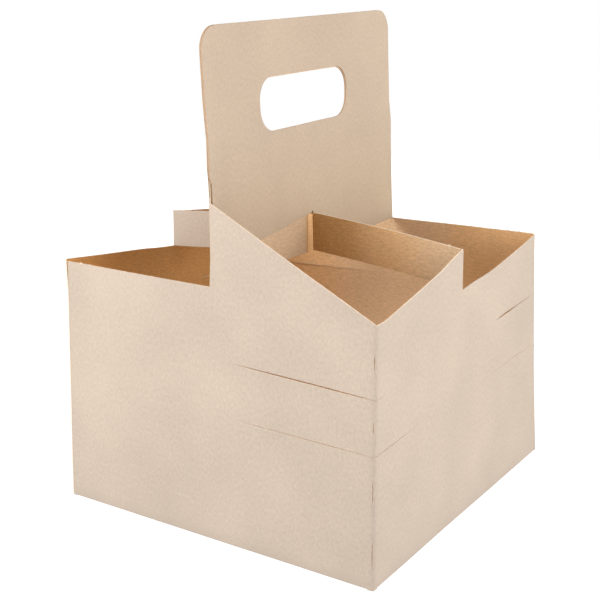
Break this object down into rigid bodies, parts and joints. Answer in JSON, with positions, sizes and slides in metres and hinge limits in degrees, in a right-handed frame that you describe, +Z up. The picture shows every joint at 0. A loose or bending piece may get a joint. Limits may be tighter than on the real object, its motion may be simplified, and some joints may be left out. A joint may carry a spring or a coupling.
{
  "type": "cup carrier",
  "caption": "Square kraft board cup carrier folded from one sheet, with an upright two-ply handle, a hand slot and divider straps that part the cups.",
  "frame": {"origin": "middle of the base, on the surface that the carrier stands on", "axes": "+Z up, handle in the plane x = 0, +X and +Y square to neighbouring walls"},
  "size_m": [0.21, 0.21, 0.291],
  "materials": {
    "kraft_board": "matte"
  },
  "bodies": {
    "root": {"carrier": "kraft_board"}
  },
  "joints": []
}
